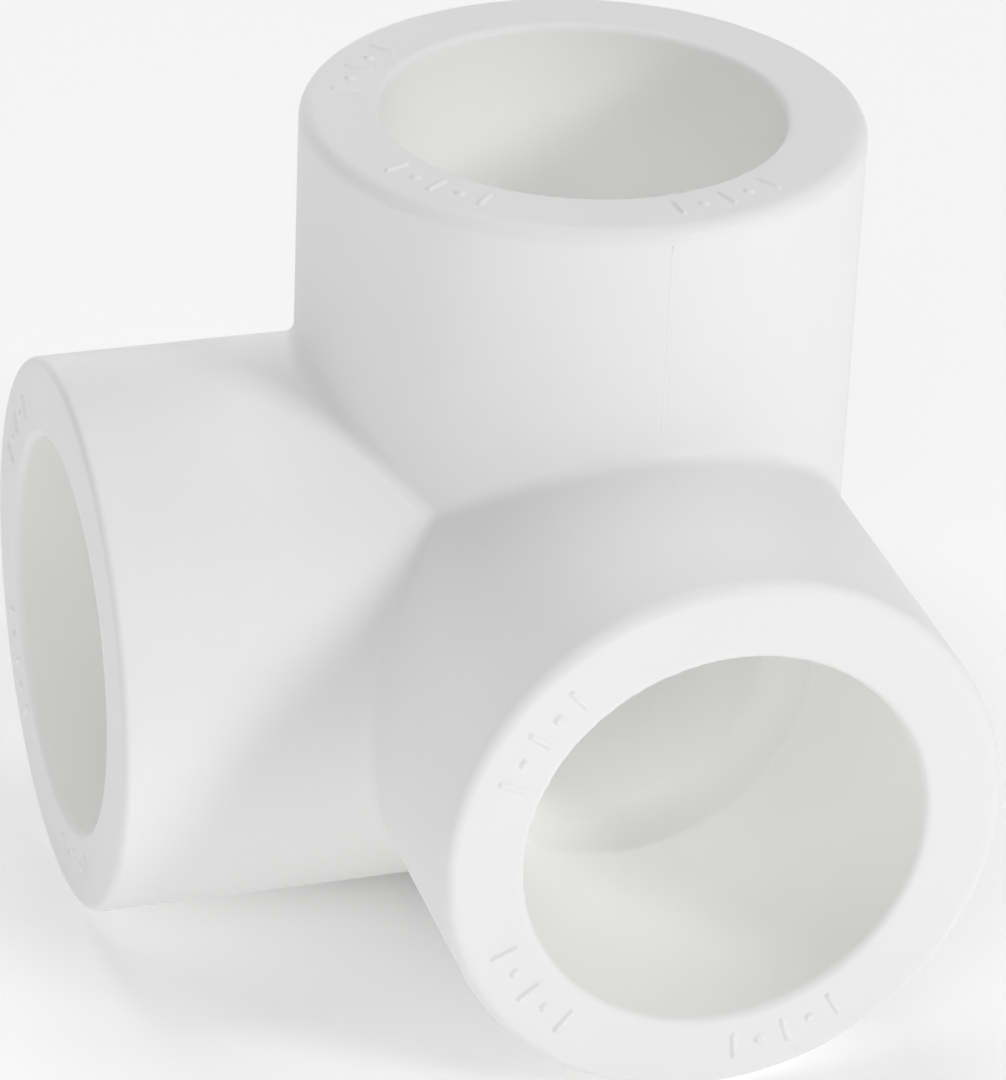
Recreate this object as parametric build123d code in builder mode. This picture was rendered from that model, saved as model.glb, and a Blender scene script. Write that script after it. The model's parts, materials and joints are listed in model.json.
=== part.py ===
"""Three-way corner fitting for socket-fusion plastic water pipe, nominal size 25.

Three equal thick-walled sockets meet at right angles: one points up (+Z), one to the
left (-X) and one to the front (-Y). The origin is where their axes cross. The real
fitting is one moulding, so the nodes are its named regions, and they meet face to face:
three sockets, the three throats behind them, the rounded corner that closes the hub,
and the raised marks on each rim.
"""

import os

from build123d import *

# Driving dimensions, in millimetres.
pipe_diameter = 25.0  # outside diameter of the pipe that is fused into each socket
fusion_interference = 0.7  # how much smaller than the pipe the socket is
body_radius = 17.0  # outside of every tube, and of the rounded back of the hub
reach = 32.0  # from the crossing of the axes to each rim
stop_distance = 13.0  # from the crossing to the ledge that stops the pipe
passage_radius = 9.5  # water way behind the ledges
rim_round = 1.0  # outer edge of each rim
mouth_round = 0.5  # inner edge of each rim
ledge_round = 1.5  # where each ledge turns down into the water way

# Raised marks on the rims: groups of radial bars with a round pip between each pair.
mark_height = 0.15
mark_circle_radius = 14.3
bar_length = 1.9
bar_width = 0.5
pip_radius = 0.4
bars_in_group = 3
bar_pitch = 13.0  # degrees between the bars of a group
group_centres = (144.0, 216.0, 288.0)  # degrees round the rim from its x direction

socket_radius = (pipe_diameter - fusion_interference) / 2

# Each branch is drawn on a plane at the crossing that faces out of its mouth.
branches = {
    "top": Plane(origin=(0, 0, 0), x_dir=(1, 0, 0), z_dir=(0, 0, 1)),
    "left": Plane(origin=(0, 0, 0), x_dir=(0, -1, 0), z_dir=(-1, 0, 0)),
    "front": Plane(origin=(0, 0, 0), x_dir=(1, 0, 0), z_dir=(0, -1, 0)),
}


def mitre_planes(name):
    """The planes that part one branch from the two others, facing into that branch."""
    outward = branches[name].z_dir
    others = [plane.z_dir for key, plane in branches.items() if key != name]
    return [Plane(origin=(0, 0, 0), z_dir=outward - other) for other in others]


def save(part, label):
    """Name one finished piece and write its file."""
    part.label = label
    export_step(part, f"parts/{label}.step")


def make_socket(name):
    """The sleeve that takes the pipe, from the stop ledge to the rim."""
    plane = branches[name]
    with BuildPart() as socket:
        with BuildSketch(plane.offset(stop_distance)):
            Circle(body_radius)
            Circle(socket_radius, mode=Mode.SUBTRACT)
        extrude(amount=reach - stop_distance)
        rim_edges = socket.edges().filter_by(GeomType.CIRCLE).group_by(Axis(plane.origin, plane.z_dir))[-1]
        fillet(rim_edges.sort_by(SortBy.RADIUS)[-1], radius=rim_round)
        rim_edges = socket.edges().filter_by(GeomType.CIRCLE).group_by(Axis(plane.origin, plane.z_dir))[-1]
        fillet(rim_edges.sort_by(SortBy.RADIUS)[0], radius=mouth_round)
        for mitre in mitre_planes(name):
            split(bisect_by=mitre, keep=Keep.TOP)
    return socket.part


def make_throat(name):
    """The stretch behind the ledge: its end face stops the pipe, its bore carries water."""
    plane = branches[name]
    with BuildPart() as throat:
        with BuildSketch(plane):
            Circle(body_radius)
            Circle(passage_radius, mode=Mode.SUBTRACT)
        extrude(amount=stop_distance)
        ledge_edges = throat.edges().filter_by(GeomType.CIRCLE).group_by(Axis(plane.origin, plane.z_dir))[-1]
        fillet(ledge_edges.sort_by(SortBy.RADIUS)[0], radius=ledge_round)
        for mitre in mitre_planes(name):
            split(bisect_by=mitre, keep=Keep.TOP)
    return throat.part


def make_corner():
    """The eighth of a hollow ball that closes the hub opposite the three mouths."""
    with BuildPart() as corner:
        Sphere(body_radius)
        Sphere(passage_radius, mode=Mode.SUBTRACT)
        for plane in branches.values():
            split(bisect_by=Plane(origin=(0, 0, 0), z_dir=-plane.z_dir), keep=Keep.TOP)
    return corner.part


def make_rim_marks(name):
    """Raised bars and pips on one rim, each a separate low solid."""
    plane = branches[name]
    span = bar_pitch * (bars_in_group - 1)
    with BuildPart() as marks:
        with BuildSketch(plane.offset(reach)):
            for centre in group_centres:
                first = centre - span / 2
                with PolarLocations(mark_circle_radius, bars_in_group, first, span, endpoint=True):
                    Rectangle(bar_length, bar_width)
                first_pip = first + bar_pitch / 2
                pips = bars_in_group - 1
                with PolarLocations(mark_circle_radius, pips, first_pip, span - bar_pitch, endpoint=True):
                    Circle(pip_radius)
        extrude(amount=mark_height)
    return marks.part


os.makedirs("parts", exist_ok=True)

for branch in branches:
    save(make_socket(branch), f"{branch}_socket")
    save(make_throat(branch), f"{branch}_throat")
    save(make_rim_marks(branch), f"{branch}_rim_marks")

save(make_corner(), "hub_corner")
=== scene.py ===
"""Looks of the white plastic three-way corner pipe fitting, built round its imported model."""

import json
import math

import bmesh
import bpy
import numpy as np
from mathutils import Matrix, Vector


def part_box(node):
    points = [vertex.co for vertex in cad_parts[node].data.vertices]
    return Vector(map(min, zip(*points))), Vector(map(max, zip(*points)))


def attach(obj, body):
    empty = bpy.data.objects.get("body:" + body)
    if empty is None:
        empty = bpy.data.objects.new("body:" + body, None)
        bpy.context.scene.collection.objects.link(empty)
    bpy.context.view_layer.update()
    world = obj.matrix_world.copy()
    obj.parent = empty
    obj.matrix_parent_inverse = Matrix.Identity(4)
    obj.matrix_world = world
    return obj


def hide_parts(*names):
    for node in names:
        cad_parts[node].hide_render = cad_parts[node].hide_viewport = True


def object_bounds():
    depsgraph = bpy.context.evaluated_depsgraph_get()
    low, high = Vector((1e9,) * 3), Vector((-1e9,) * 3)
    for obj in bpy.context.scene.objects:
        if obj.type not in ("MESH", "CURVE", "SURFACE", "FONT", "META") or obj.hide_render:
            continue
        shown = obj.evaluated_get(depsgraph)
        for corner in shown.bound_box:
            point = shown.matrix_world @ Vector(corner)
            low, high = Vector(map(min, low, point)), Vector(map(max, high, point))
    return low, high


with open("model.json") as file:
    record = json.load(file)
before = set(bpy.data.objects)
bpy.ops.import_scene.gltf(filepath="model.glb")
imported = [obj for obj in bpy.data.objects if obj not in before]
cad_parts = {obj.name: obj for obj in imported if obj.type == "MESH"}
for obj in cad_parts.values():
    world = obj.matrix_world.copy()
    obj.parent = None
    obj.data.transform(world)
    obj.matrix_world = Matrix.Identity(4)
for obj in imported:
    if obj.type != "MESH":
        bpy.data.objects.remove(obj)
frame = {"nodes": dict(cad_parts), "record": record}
cad_low, cad_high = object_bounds()

MM = 0.001


# ---------------------------------------------------------------- sizes, from the frame


def bore_radius():
    """Radius of the pipe sockets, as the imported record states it."""
    bores = [mount for mount in frame["record"]["mounts"] if mount["kind"] == "bore"]
    return bores[0]["dims"]["r_mm"] * MM


def narrowest_radius(node):
    """Smallest distance of a CAD node's points from the upright axis."""
    points = frame["nodes"][node].data.vertices
    return min(math.hypot(point.co.x, point.co.y) for point in points)


BODY_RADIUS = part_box("hub_corner")[1].x
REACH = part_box("top_socket")[1].z
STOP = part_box("top_throat")[1].z
MARK_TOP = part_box("top_rim_marks")[1].z
SOCKET_RADIUS = bore_radius()
PASSAGE_RADIUS = narrowest_radius("top_throat")

FLASH_HEIGHT = 0.02 * MM  # how far the parting line stands out of the skin
SKIN_RADIUS = BODY_RADIUS - FLASH_HEIGHT
CREASE_BLEND = 1.0 * MM  # concave round where two tubes meet outside
RIM_ROUNDS = {"top": 1.0 * MM, "left": 0.5 * MM, "front": 0.8 * MM}  # outer edges
MOUTH_ROUND = 0.5 * MM
CORNER_ROUND = 0.3 * MM  # concave, where the socket wall meets the pipe stop
PASSAGE_ROUND = 2.3 * MM
INNER_BLEND = 0.5 * MM  # convex, where two water ways meet inside the hub
BURR_DEPTH = 0.07 * MM  # ragged edge left on the mouths by the moulding core
LINER_RADIUS = SOCKET_RADIUS - CORNER_ROUND  # where the throat piece ends under the socket piece

BURR_LOBES = (7, 13, 23, 37, 41, 59, 71, 83)  # waves round the mouth
BURR_SIDE = math.radians(-120)  # where round a branch the burr is worst
COLUMN_STEP = 0.75  # degrees between the columns of a tube's mesh
PATCH_STEPS = 16  # columns across the small patch where all three creases meet

# Raised marks on each rim, as the CAD nodes have them.
MARK_HEIGHT = MARK_TOP - REACH
MARK_CIRCLE = 14.3 * MM
MARK_GROUPS = (144, 216, 288)  # degrees round the rim
BAR_PITCH = 13  # degrees
BAR_LENGTH = 1.9 * MM
BAR_WIDTH = 0.5 * MM
PIP_RADIUS = 0.4 * MM
MARK_SOFTNESS = 0.23 * MM  # how far in from its outline a mark reaches its full height
PAD_STEPS = 8
MARK_ROOT = 0.05 * MM  # how deep a mark is let into the rim
X, Y, Z = np.eye(3)
RIM_PLANES = {"top": (X, Y, Z), "left": (-Y, Z, -X), "front": (X, Z, -Y)}

FLASH_WIDTH = 0.22 * MM
FLASH_ROOT = 0.03 * MM  # how deep the parting line is let into the skin
FLASH_SHOULDER = 0.7  # its height halfway to its edge, as a share
FLASH_LEAST = 0.3  # its height away from the top rim, as a share
WAVE_COUNT = 14  # slow waves that make faces a little untrue
WAVE_HEIGHT = 0.0012 * MM  # of each wave
WAVE_LENGTHS = (5 * MM, 16 * MM)  # shortest and longest
WAVE_SEED = 25
MERGE_WITHIN = 2e-4 * MM
STREAK_LENGTH = 14  # how many times longer than wide the streaks along a branch are

# Textures of the plastic. A scale is about how many features fit in a metre.
PLASTIC_IOR = 1.49
WHITE = (0.975, 0.975, 0.97, 1)
DULLER = 0.982  # of the base colour, in the clouds and streaks
CLOUD_SCALE = 110
STREAK_SCALE = 700
STREAK_DEPTH = 0.03 * MM
SATIN_SCALE = 420
PORE_SCALE = 2600
PORE_DEPTH = 0.02 * MM
SPECK_SCALE = 260
SPECK_EDGE = (0.012, 0.022)  # where a speck fades out, as a share of a cell
SPECK_STRENGTH = 0.35
SPECK_COLOUR = (0.62, 0.6, 0.56, 1)

# The photograph's view, fitted to the outline of the three tubes.
CAMERA_TURN = (-18.09, 29.04, 2.47)  # azimuth, elevation and roll in degrees
CAMERA_PLACE = (-3.618 * MM, 2.254 * MM, 345.75 * MM)  # along its own right, up and back
CAMERA_LENS = 184.97
CAMERA_SENSOR = 36

FLOOR_HALF = 3.0
FLOOR_COLOUR = (0.92, 0.92, 0.92, 1)
FLOOR_ROUGHNESS = 0.8
# The floor glows, but not near the hub: a painted contact shade that leaves the floor round the object
# darker.
FLOOR_GLOW = 0.26
PAINTED_SHADE_CORE = 5 * MM  # how far from the hub the floor begins to glow
PAINTED_SHADE_EDGE = 45 * MM
LIGHT_DISTANCE = 0.9
SOFT_BOX = 0.5  # width of a soft light
KEY_BOX = 0.2
SURROUND = 0.31  # strength of the white surround
BOUNCES = 12  # light goes on bouncing inside white bores

# The top branch is made once; turning by a third about the hub's diagonal gives the others.
THIRD_TURN = np.array([[0, 0, -1], [1, 0, 0], [0, -1, 0]], float)
TURNS = {
    "top": np.eye(3),
    "left": THIRD_TURN,
    "front": THIRD_TURN @ THIRD_TURN,
}


# ---------------------------------------------------------------- surface of one branch


def slerp(start, end, share):
    """Unit vectors part of the way along the great circles from start to end."""
    cosine = np.clip((start * end).sum(1, keepdims=True), -1, 1)
    angle = np.arccos(cosine)
    sine = np.where(angle > 1e-6, np.sin(angle), 1)
    before = np.where(angle > 1e-6, np.sin((1 - share) * angle) / sine, 1 - share)
    after = np.where(angle > 1e-6, np.sin(share * angle) / sine, share)
    mixed = before * start + after * end
    return mixed / np.linalg.norm(mixed, axis=1, keepdims=True)


def unit(*numbers):
    """One direction as a row of an array."""
    vector = np.array([numbers], float)
    return vector / np.linalg.norm(vector)


class Columns:
    """The directions round the top branch, with its neighbours at -X and -Y.

    They start between the neighbours, go once round, and then cross the small patch where
    the three creases meet. near and far are the normals at the two ends of the crease
    blend, and height says how high the crease is, as a share of the radius.
    """

    def __init__(self):
        count = round(360 / COLUMN_STEP)
        angle = np.radians(-135 + COLUMN_STEP * np.arange(count + 1))
        share = np.arange(PATCH_STEPS - 1, 0, -1)[:, None] / PATCH_STEPS
        angle = np.concatenate([angle, np.full(len(share), angle[0])])
        self.angle = angle
        self.around = np.stack([np.cos(angle), np.sin(angle), np.zeros(len(angle))], 1)
        height = np.clip(np.maximum(-self.around[:, 0], -self.around[:, 1]), 0, None)
        height[height < 1e-9] = 0
        self.height = height[:, None]
        self.up = np.array([[0, 0, 1.0]])
        self.near = self.around
        other = self.around.copy()
        to_front = self.around[:, 1] <= self.around[:, 0]
        other[:, 1] = np.where(to_front, np.maximum(other[:, 1], 0), other[:, 1])
        other[:, 0] = np.where(to_front, other[:, 0], np.maximum(other[:, 0], 0))
        other = other + self.height * self.up
        # The last full column is the first one again, but its crease is with the left branch.
        other[count] = [0, self.around[count, 1], self.height[count, 0]]
        other = other / np.linalg.norm(other, axis=1, keepdims=True)
        self.far = slerp(self.near, other, 0.5)
        self.far[count + 1:] = self.patch_ends(share)

    def patch_ends(self, share):
        """Far normals of the patch, from the crease with the left branch to the front's."""
        top, front, left = unit(-1, -1, 0), unit(-1, 0, 1), unit(0, -1, 1)
        middle = unit(-1, -1, 1)
        by_front = slerp(slerp(top, front, 0.5), middle, 2 * share)
        by_left = slerp(middle, slerp(top, left, 0.5), 2 * share - 1)
        return np.where(share < 0.5, by_front, by_left)

    def level(self, radius, height):
        """A ring at one height."""
        return radius * self.around + height * self.up

    def mitre(self, radius):
        """The ring where a bare tube of this radius meets the mitre planes."""
        return radius * self.around + radius * self.height * self.up

    def blend(self, radius, round_, share):
        """A ring part of the way down the rounded crossing of tubes of this radius."""
        centre = (radius + round_) * (self.around + self.height * self.up)
        return centre - round_ * slerp(self.near, self.far, share)

    def between(self, start, end, steps):
        """Rings evenly spaced between two rings, both left out."""
        return [start + (end - start) * k / steps for k in range(1, steps)]


def arc(radius, height, round_, start, end, steps):
    """Points (radius, height) along an arc, with its angles in degrees from outward."""
    angles = np.radians(np.linspace(start, end, steps + 1))
    return [(radius + round_ * math.cos(a), height + round_ * math.sin(a)) for a in angles]


def burr(columns, seed):
    """How far the mouth's edge stands in at each column: most between the neighbours."""
    chance = np.random.default_rng(seed)
    total = np.zeros(len(columns.angle))
    for lobes in BURR_LOBES:
        total += np.sin(lobes * columns.angle + chance.uniform(0, 2 * math.pi))
    near_side = 0.5 + 0.5 * np.cos(columns.angle - BURR_SIDE)
    rough = np.clip(total / len(BURR_LOBES), 0, None) * (0.2 + 0.8 * near_side ** 2)
    return (BURR_DEPTH * rough)[:, None]


def socket_rings(columns, branch, seed):
    """From the crease up the outside, over the rim and down the bore to the pipe stop."""
    rim_round = RIM_ROUNDS[branch]
    rings = [columns.blend(SKIN_RADIUS, CREASE_BLEND, 1 - k / 6) for k in range(7)]
    profile = arc(SKIN_RADIUS - rim_round, REACH - rim_round, rim_round, 0, 90, 8)
    top_of_wall = columns.level(*profile[0])
    rings += columns.between(rings[-1], top_of_wall, 14)
    mouth_centre = SOCKET_RADIUS + MOUTH_ROUND
    mouth = arc(mouth_centre, REACH - MOUTH_ROUND, MOUTH_ROUND, 90, 180, 8)
    rings += [columns.level(*point) for point in profile]
    rings += columns.between(rings[-1], columns.level(*mouth[0]), 8)
    edge = burr(columns, seed)
    for k, point in enumerate(mouth):
        share = math.sin(math.pi * k / (len(mouth) - 1))
        rings.append(columns.level(*point) - share * edge * (columns.around - columns.up))
    corner = arc(LINER_RADIUS, STOP + CORNER_ROUND, CORNER_ROUND, 0, -90, 5)
    rings += columns.between(rings[-1], columns.level(*corner[0]), 14)
    rings += [columns.level(*point) for point in corner]
    hidden = [columns.mitre(LINER_RADIUS)]
    return rings, hidden


def throat_rings(columns):
    """From the pipe stop's ledge down the water way to the crossing."""
    mouth_centre = PASSAGE_RADIUS + PASSAGE_ROUND
    rings = [columns.level(LINER_RADIUS, STOP)]
    mouth = arc(mouth_centre, STOP - PASSAGE_ROUND, PASSAGE_ROUND, 90, 180, 6)
    rings += columns.between(rings[0], columns.level(*mouth[0]), 3)
    rings += [columns.level(*point) for point in mouth]
    crossing = columns.blend(PASSAGE_RADIUS, INNER_BLEND, 0)
    rings += columns.between(rings[-1], crossing, 8)
    rings += [columns.blend(PASSAGE_RADIUS, INNER_BLEND, k / 4) for k in range(5)]
    hidden = [columns.mitre(LINER_RADIUS)]
    return rings, hidden


# ---------------------------------------------------------------- meshes


def uneven(points):
    """The points moved a few microns by slow waves, as a moulding's faces are never quite true."""
    chance = np.random.default_rng(WAVE_SEED)
    moved = points.copy()
    for _ in range(WAVE_COUNT):
        along = chance.normal(size=3)
        along *= 2 * math.pi / (chance.uniform(*WAVE_LENGTHS) * np.linalg.norm(along))
        push = chance.normal(size=3) * WAVE_HEIGHT
        moved += np.sin(points @ along + chance.uniform(0, 2 * math.pi))[:, None] * push
    return np.clip(moved, cad_low, cad_high)


def closed_rings(rings, hidden):
    """Points and quads of a closed tube of rings, and whether each quad is inside the body."""
    every = rings + hidden
    count = len(rings[0])
    points = np.concatenate(every)
    faces, inside = [], []
    for ring in range(len(every)):
        above = (ring + 1) % len(every)
        for column in range(count):
            beside = (column + 1) % count
            faces.append((ring * count + column, ring * count + beside,
                          above * count + beside, above * count + column))
            inside.append(ring >= len(rings) - 1)
    return points, faces, inside


def hub_corner_shape():
    """The eighth of a hollow ball that closes the hub."""
    steps = round(90 / COLUMN_STEP)
    angle = np.radians(np.linspace(0, 90, steps + 1))
    points = []
    for radius in (SKIN_RADIUS, PASSAGE_RADIUS):
        for dip in angle:
            for turn in angle:
                level = radius * math.cos(dip)
                depth = radius * math.sin(dip)
                points.append((level * math.cos(turn), level * math.sin(turn), -depth))
    side = steps + 1

    def at(shell, row, column):
        """Number of a point on the outer shell, 0, or the inner one, 1."""
        return (shell * side + row) * side + column

    faces, inside = [], []
    for row in range(steps):
        for column in range(steps):
            corners = [(row, column), (row, column + 1), (row + 1, column + 1), (row + 1, column)]
            faces.append(tuple(at(0, *corner) for corner in reversed(corners)))
            faces.append(tuple(at(1, *corner) for corner in corners))
            inside += [False, False]
    for k in range(steps):
        faces.append((at(0, 0, k), at(0, 0, k + 1), at(1, 0, k + 1), at(1, 0, k)))
        faces.append((at(0, k + 1, 0), at(0, k, 0), at(1, k, 0), at(1, k + 1, 0)))
        faces.append((at(0, k, steps), at(0, k + 1, steps), at(1, k + 1, steps), at(1, k, steps)))
        inside += [True, True, True]
    return np.array(points), faces, inside


def make_object(name, points, faces, inside, grain, material):
    """A mesh object from points and faces, with double points joined.

    grain holds the point's place with its length along the branch pressed short, so that a
    texture read from it runs in streaks along the branch.
    """
    mesh = bpy.data.meshes.new(name)
    mesh.from_pydata(uneven(points).tolist(), [], faces)
    buried = mesh.attributes.new("buried", "BOOLEAN", "FACE")
    buried.data.foreach_set("value", inside)
    streaks = mesh.attributes.new("grain", "FLOAT_VECTOR", "POINT")
    streaks.data.foreach_set("vector", grain.ravel())
    shape = bmesh.new()
    shape.from_mesh(mesh)
    bmesh.ops.remove_doubles(shape, verts=shape.verts, dist=MERGE_WITHIN)
    shape.to_mesh(mesh)
    shape.free()
    mesh.materials.append(material)
    mesh.polygons.foreach_set("use_smooth", [True] * len(mesh.polygons))
    piece = bpy.data.objects.new(name, mesh)
    bpy.context.scene.collection.objects.link(piece)
    return piece


def read(collection, key, width, kind=float):
    """One value of every element of a mesh collection, as an array."""
    values = np.zeros(len(collection) * width, kind)
    collection.foreach_get(key, values)
    return values.reshape(-1, width) if width > 1 else values


def share_normals(pieces):
    """Give the pieces' visible faces normals that run on smoothly from piece to piece."""
    corners = []
    for piece in pieces:
        mesh = piece.data
        spot = read(mesh.vertices, "co", 3)
        vertex = read(mesh.loops, "vertex_index", 1, np.int32)
        sizes = read(mesh.polygons, "loop_total", 1, np.int32)
        face = np.repeat(np.arange(len(sizes)), sizes)
        normal = read(mesh.polygons, "normal", 3)
        area = read(mesh.polygons, "area", 1)
        buried = np.zeros(len(sizes), bool)
        mesh.attributes["buried"].data.foreach_get("value", buried)
        corners.append((spot[vertex], normal[face], area[face], buried[face]))
    spots = np.concatenate([corner[0] for corner in corners])
    normals = np.concatenate([corner[1] for corner in corners])
    areas = np.concatenate([corner[2] for corner in corners])
    buried = np.concatenate([corner[3] for corner in corners])
    keys = np.round(spots / (0.5e-3 * MM)).astype(np.int64)
    _, index = np.unique(keys, axis=0, return_inverse=True)
    index = index.ravel()
    total = np.zeros((index.max() + 1, 3))
    seen = ~buried
    np.add.at(total, index[seen], normals[seen] * areas[seen, None])
    length = np.linalg.norm(total, axis=1, keepdims=True)
    smooth = total / np.where(length > 0, length, 1)
    chosen = np.where(buried[:, None], normals, smooth[index])
    start = 0
    for piece, corner in zip(pieces, corners):
        end = start + len(corner[0])
        piece.data.normals_split_custom_set(chosen[start:end].tolist())
        start = end


# ---------------------------------------------------------------- raised marks on the rims


def pad_outline(half_length, half_width, inset, steps=8):
    """Outline of a pad with round ends, drawn in by inset."""
    outline = []
    radius = half_width - inset
    for end, start in ((1, -90), (-1, 90)):
        centre = end * (half_length - half_width)
        for k in range(steps + 1):
            angle = math.radians(start + 180 * k / steps)
            outline.append((centre + radius * math.cos(angle), radius * math.sin(angle)))
    return outline


def pad_shape(half_length, half_width):
    """Points and faces of a low pad with soft edges, standing on z = 0 and let in a little."""
    rings = [[(x, y, -MARK_ROOT) for x, y in pad_outline(half_length, half_width, 0)]]
    for k in range(PAD_STEPS + 1):
        share = k / PAD_STEPS
        inset = MARK_SOFTNESS * share
        height = MARK_HEIGHT * (1 - math.cos(math.pi * share)) / 2
        rings.append([(x, y, height) for x, y in pad_outline(half_length, half_width, inset)])
    points = [point for ring in rings for point in ring]
    count = len(rings[0])
    faces = [tuple(range(count))[::-1]]
    for ring in range(len(rings) - 1):
        for k in range(count):
            beside = (k + 1) % count
            faces.append((ring * count + k, ring * count + beside,
                          (ring + 1) * count + beside, (ring + 1) * count + k))
    faces.append(tuple(range(len(points) - count, len(points))))
    return np.array(points), faces


def mark_places():
    """Each mark's angle round the rim and its half length and half width."""
    for centre in MARK_GROUPS:
        for place in (-1, 0, 1):
            yield centre + place * BAR_PITCH, BAR_LENGTH / 2, BAR_WIDTH / 2
        for place in (-0.5, 0.5):
            yield centre + place * BAR_PITCH, PIP_RADIUS, PIP_RADIUS


def make_rim_marks(branch, material):
    """The bars and pips that stand on one rim, in the places that the CAD node has them."""
    x_dir, y_dir, out = RIM_PLANES[branch]
    points, faces = [], []
    for angle, half_length, half_width in mark_places():
        pad, pad_faces = pad_shape(half_length, half_width)
        turn = math.radians(angle)
        away = MARK_CIRCLE + pad[:, 0]
        flat_x = away * math.cos(turn) - pad[:, 1] * math.sin(turn)
        flat_y = away * math.sin(turn) + pad[:, 1] * math.cos(turn)
        start = sum(len(group) for group in points)
        height = REACH + pad[:, 2]
        points.append(np.outer(flat_x, x_dir) + np.outer(flat_y, y_dir) + np.outer(height, out))
        faces += [tuple(start + corner for corner in face) for face in pad_faces]
    points = np.concatenate(points)
    name = f"{branch}_rim_marks"
    piece = make_object(f"{name}_raised", points, faces, [False] * len(faces), points, material)
    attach(piece, "root")
    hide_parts(name)
    return piece


# ---------------------------------------------------------------- parting line


def turn_points(centre, radius, start, end, steps, bulge=1):
    """Points (y, z) and normals along an arc in the plane x = 0, angles in degrees.

    The normals point away from the arc's centre, or towards it where bulge is -1.
    """
    for angle in np.radians(np.linspace(start, end, steps + 1)):
        y_share, z_share = math.cos(angle), math.sin(angle)
        spot = (centre[0] + radius * y_share, centre[1] + radius * z_share)
        yield spot, (bulge * y_share, bulge * z_share)


def straight_points(start, end, normal, steps):
    """Points (y, z) and their one normal along a straight run, its end left out."""
    for k in range(steps):
        share = k / steps
        yield (start[0] + (end[0] - start[0]) * share, start[1] + (end[1] - start[1]) * share), normal


def front_parting_path():
    """Down the front of the top branch, round the crease and out along the front branch."""
    top = REACH - RIM_ROUNDS["top"]
    tip = REACH - RIM_ROUNDS["front"]
    bend = SKIN_RADIUS + CREASE_BLEND
    yield from straight_points((-SKIN_RADIUS, top), (-SKIN_RADIUS, bend), (-1, 0), 24)
    yield from turn_points((-bend, bend), CREASE_BLEND, 0, -90, 10, bulge=-1)
    yield from list(straight_points((-tip, SKIN_RADIUS), (-bend, SKIN_RADIUS), (0, 1), 24))[::-1]


def back_parting_path():
    """Along the underside of the front branch, round the hub and up the top branch's back."""
    top = REACH - RIM_ROUNDS["top"]
    tip = REACH - RIM_ROUNDS["front"]
    yield from straight_points((-tip, -SKIN_RADIUS), (0, -SKIN_RADIUS), (0, -1), 40)
    yield from turn_points((0, 0), SKIN_RADIUS, -90, 0, 60)
    yield from list(straight_points((SKIN_RADIUS, top), (SKIN_RADIUS, 0), (1, 0), 40))[::-1]


def make_parting_line(name, path, material):
    """A hair-thin raised line where the mould's halves met, plainest near the top rim."""
    shoulder = FLASH_SHOULDER * FLASH_HEIGHT
    section = ((-1, -FLASH_ROOT), (-0.5, shoulder), (0, FLASH_HEIGHT), (0.5, shoulder), (1, -FLASH_ROOT))
    points = []
    for (y, z), normal in path:
        share = min(max((z - BODY_RADIUS) / (REACH - BODY_RADIUS), 0), 1)
        for across, rise in section:
            proud = rise if rise < 0 else rise * (FLASH_LEAST + (1 - FLASH_LEAST) * share)
            points.append((across * FLASH_WIDTH / 2, y + proud * normal[0], z + proud * normal[1]))
    count = len(section)
    faces = [tuple(range(count)), tuple(range(len(points) - count, len(points)))[::-1]]
    for start in range(0, len(points) - count, count):
        for k in range(count):
            beside = (k + 1) % count
            faces.append((start + beside, start + k, start + count + k, start + count + beside))
    points = np.array(points)
    piece = make_object(name, points, faces, [False] * len(faces), points, material)
    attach(piece, "root")
    return piece


# ---------------------------------------------------------------- materials


class Nodes:
    """Adds shader nodes to a material and joins them."""

    def __init__(self, name):
        """A new material with its shader."""
        self.material = bpy.data.materials.new(name)
        self.material.use_nodes = True
        self.tree = self.material.node_tree
        self.shader = self.tree.nodes["Principled BSDF"]

    def add(self, kind, **settings):
        """A new node with some of its settings changed."""
        node = self.tree.nodes.new(kind)
        for key, value in settings.items():
            setattr(node, key, value)
        return node

    def join(self, source, target):
        """Lead one node's output to another's input."""
        self.tree.links.new(source, target)

    def noise(self, place, scale, detail=2.0, roughness=0.5):
        """Noise from 0 to 1 whose features are about 1 / scale metres across."""
        node = self.add("ShaderNodeTexNoise")
        node.inputs["Scale"].default_value = scale
        node.inputs["Detail"].default_value = detail
        node.inputs["Roughness"].default_value = roughness
        self.join(place, node.inputs["Vector"])
        return node.outputs["Fac"]

    def spread(self, value, low, high, to_low, to_high):
        """A value taken from one range to another, held at both ends."""
        node = self.add("ShaderNodeMapRange")
        ends = {"From Min": low, "From Max": high, "To Min": to_low, "To Max": to_high}
        for key, number in ends.items():
            node.inputs[key].default_value = number
        self.join(value, node.inputs["Value"])
        return node.outputs["Result"]

    def mix(self, share, first, second):
        """A colour between two, each a colour or another node's output."""
        node = self.add("ShaderNodeMix", data_type="RGBA")
        self.join(share, node.inputs["Factor"])
        for key, colour in (("A", first), ("B", second)):
            socket = next(i for i in node.inputs if i.name == key and i.type == "RGBA")
            if isinstance(colour, tuple):
                socket.default_value = colour
            else:
                self.join(colour, socket)
        return next(o for o in node.outputs if o.type == "RGBA")

    def bump(self, height, strength, distance, under=None):
        """A bump made from a height, on top of another bump if one is given."""
        node = self.add("ShaderNodeBump")
        node.inputs["Strength"].default_value = strength
        node.inputs["Distance"].default_value = distance
        self.join(height, node.inputs["Height"])
        if under is not None:
            self.join(under, node.inputs["Normal"])
        return node.outputs["Normal"]


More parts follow.
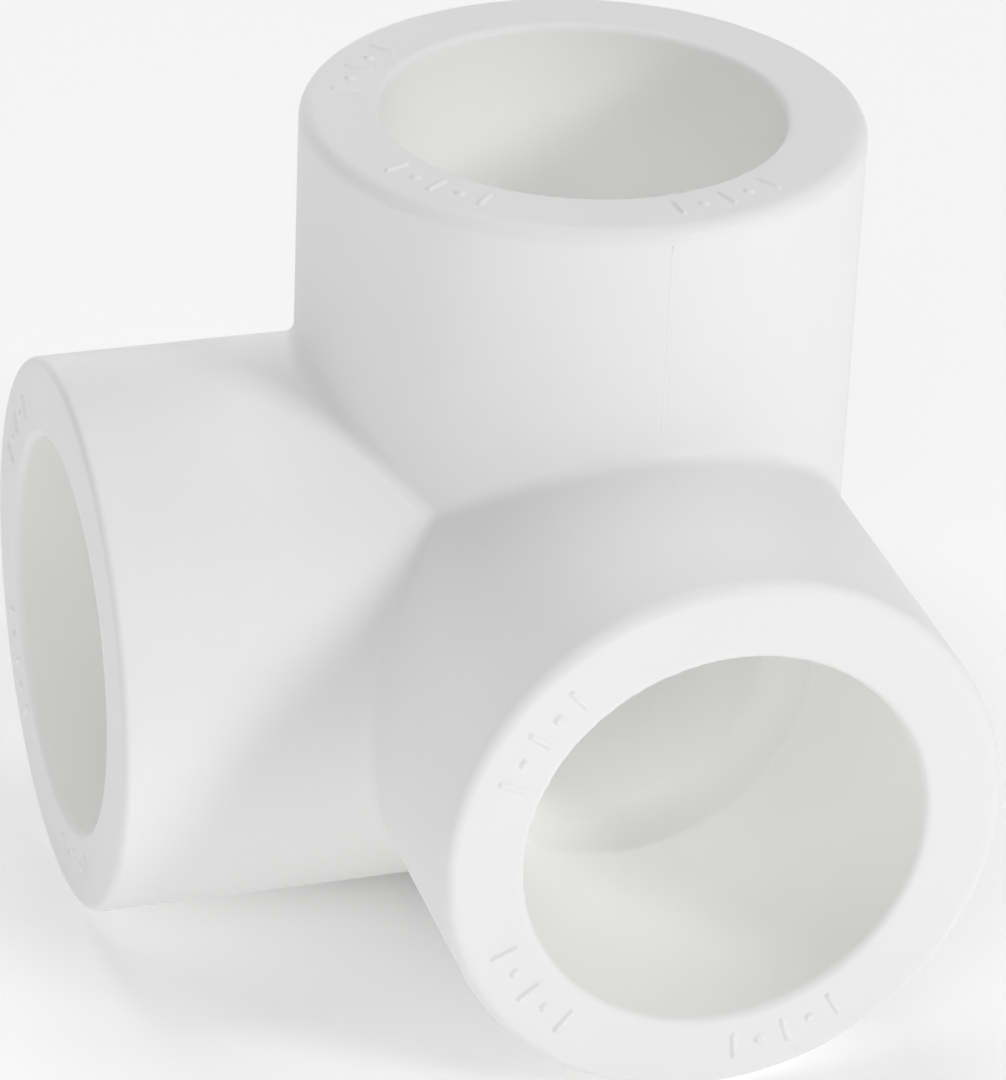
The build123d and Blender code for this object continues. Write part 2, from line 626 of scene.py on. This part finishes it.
def plastic(name, base, low_gloss, high_gloss):
    """White polypropylene: faint cloudiness, streaks along each tube, a fine satin skin."""
    nodes = Nodes(name)
    place = nodes.add("ShaderNodeTexCoord").outputs["Object"]
    grain = nodes.add("ShaderNodeAttribute", attribute_name="grain").outputs["Vector"]
    cloud = nodes.noise(place, CLOUD_SCALE, 3)
    streak = nodes.noise(grain, STREAK_SCALE, 2)
    duller = tuple(channel * DULLER for channel in base[:3]) + (1,)
    clouded = nodes.mix(nodes.spread(cloud, 0.35, 0.65, 0, 1), base, duller)
    streaked = nodes.mix(nodes.spread(streak, 0.35, 0.7, 0, 0.5), clouded, duller)
    speck = nodes.add("ShaderNodeTexVoronoi")
    speck.inputs["Scale"].default_value = SPECK_SCALE
    nodes.join(place, speck.inputs["Vector"])
    dot = nodes.spread(speck.outputs["Distance"], *SPECK_EDGE, SPECK_STRENGTH, 0)
    coloured = nodes.mix(dot, streaked, SPECK_COLOUR)
    nodes.join(coloured, nodes.shader.inputs["Base Color"])
    satin = nodes.noise(place, SATIN_SCALE, 4, 0.6)
    nodes.join(nodes.spread(satin, 0.3, 0.7, low_gloss, high_gloss), nodes.shader.inputs["Roughness"])
    lengthwise = nodes.bump(streak, 0.35, STREAK_DEPTH)
    pores = nodes.bump(nodes.noise(place, PORE_SCALE, 3, 0.55), 0.25, PORE_DEPTH, lengthwise)
    nodes.join(pores, nodes.shader.inputs["Normal"])
    nodes.shader.inputs["IOR"].default_value = PLASTIC_IOR
    return nodes.material


# ---------------------------------------------------------------- the fitting


def make_fitting(material):
    """The three sockets, the three throats and the corner of the hub."""
    columns = Columns()
    pressed = np.array([1, 1, 1 / STREAK_LENGTH])
    pieces = []
    for seed, (branch, turn) in enumerate(TURNS.items()):
        parts = {"socket": socket_rings(columns, branch, seed), "throat": throat_rings(columns)}
        for part, (rings, hidden) in parts.items():
            points, faces, inside = closed_rings(rings, hidden)
            name = f"{branch}_{part}"
            grain = points * pressed + seed
            piece = make_object(f"{name}_skin", points @ turn.T, faces, inside, grain, material)
            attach(piece, "root")
            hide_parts(name)
            pieces.append(piece)
    points, faces, inside = hub_corner_shape()
    piece = make_object("hub_corner_skin", points, faces, inside, points, material)
    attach(piece, "root")
    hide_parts("hub_corner")
    pieces.append(piece)
    share_normals(pieces)
    return pieces


# ---------------------------------------------------------------- stage, light and camera


def direction(azimuth, elevation):
    """Unit vector from the object towards a place round it; azimuth 0 is in front."""
    turn, rise = math.radians(azimuth), math.radians(elevation)
    return np.array([math.sin(turn) * math.cos(rise), -math.cos(turn) * math.cos(rise), math.sin(rise)])


def basis(azimuth, elevation, roll=0):
    """The right, up and back directions of something that faces the object."""
    back = direction(azimuth, elevation)
    level = np.array([math.cos(math.radians(azimuth)), math.sin(math.radians(azimuth)), 0])
    tilt = math.radians(roll)
    right = math.cos(tilt) * level + math.sin(tilt) * np.cross(back, level)
    return right, np.cross(back, right), back


def place(name, data, location, axes):
    """A new object with its own axes along right, up and back."""
    thing = bpy.data.objects.new(name, data)
    bpy.context.scene.collection.objects.link(thing)
    matrix = np.eye(4)
    matrix[:3, :3] = np.stack(axes, 1)
    matrix[:3, 3] = location
    thing.matrix_world = Matrix(matrix.tolist())
    return thing


def make_camera():
    """The photograph's view: from the left, above, and close enough for strong perspective."""
    data = bpy.data.cameras.new("camera")
    data.sensor_width = CAMERA_SENSOR
    data.lens = CAMERA_LENS
    axes = basis(*CAMERA_TURN)
    location = sum(distance * axis for distance, axis in zip(CAMERA_PLACE, axes))
    bpy.context.scene.camera = place("camera", data, location, axes)


def make_floor():
    """A plain pale floor that the two level branches lie on; it glows like a light table away from them,
    and its glow fades out near the hub as a painted contact shade.
    """
    half = FLOOR_HALF
    mesh = bpy.data.meshes.new("floor")
    corners = [(-half, -half, 0), (half, -half, 0), (half, half, 0), (-half, half, 0)]
    mesh.from_pydata(corners, [], [(0, 1, 2, 3)])
    floor = bpy.data.objects.new("floor", mesh)
    floor.location.z = cad_low.z
    bpy.context.scene.collection.objects.link(floor)
    nodes = Nodes("pale_floor")
    nodes.shader.inputs["Base Color"].default_value = FLOOR_COLOUR
    nodes.shader.inputs["Roughness"].default_value = FLOOR_ROUGHNESS
    nodes.shader.inputs["Emission Color"].default_value = (1, 1, 1, 1)
    away = nodes.add("ShaderNodeVectorMath", operation="LENGTH")
    nodes.join(nodes.add("ShaderNodeTexCoord").outputs["Object"], away.inputs[0])
    # Painted contact shade: the glow is nothing near the hub and rises to full further out, so the floor
    # round the object is darker.
    glow = nodes.spread(away.outputs["Value"], PAINTED_SHADE_CORE, PAINTED_SHADE_EDGE, 0, FLOOR_GLOW)
    nodes.join(glow, nodes.shader.inputs["Emission Strength"])
    mesh.materials.append(nodes.material)


def soft_light(name, azimuth, elevation, power, size=SOFT_BOX):
    """A square soft box that faces the object."""
    data = bpy.data.lights.new(name, "AREA")
    data.size = size
    data.energy = power
    axes = basis(azimuth, elevation)
    place(name, data, axes[2] * LIGHT_DISTANCE, axes)


def make_light():
    """A key light from the front right, soft fills and a white surround."""
    soft_light("key", 38, 26, 2.15, KEY_BOX)
    soft_light("fill_left", -115, 10, 0.35)
    soft_light("fill_back", 180, 10, 1.0)
    soft_light("fill_front_left", -30, 38, 0.95)
    soft_light("fill_right", 95, 40, 0.3)
    soft_light("overhead", 180, 70, 1.6)
    world = bpy.data.worlds.new("studio")
    bpy.context.scene.world = world
    world.use_nodes = True
    world.node_tree.nodes["Background"].inputs["Color"].default_value = (1, 1, 1, 1)
    world.node_tree.nodes["Background"].inputs["Strength"].default_value = SURROUND
    bpy.context.scene.view_settings.view_transform = "Standard"
    bpy.context.scene.cycles.diffuse_bounces = BOUNCES


make_camera()
white = plastic("white_polypropylene", WHITE, 0.42, 0.56)
raised = plastic("raised_marks", WHITE, 0.4, 0.52)
make_fitting(white)
for branch in TURNS:
    make_rim_marks(branch, raised)
make_parting_line("front_parting_line", front_parting_path(), white)
make_parting_line("back_parting_line", back_parting_path(), white)
make_floor()
make_light()
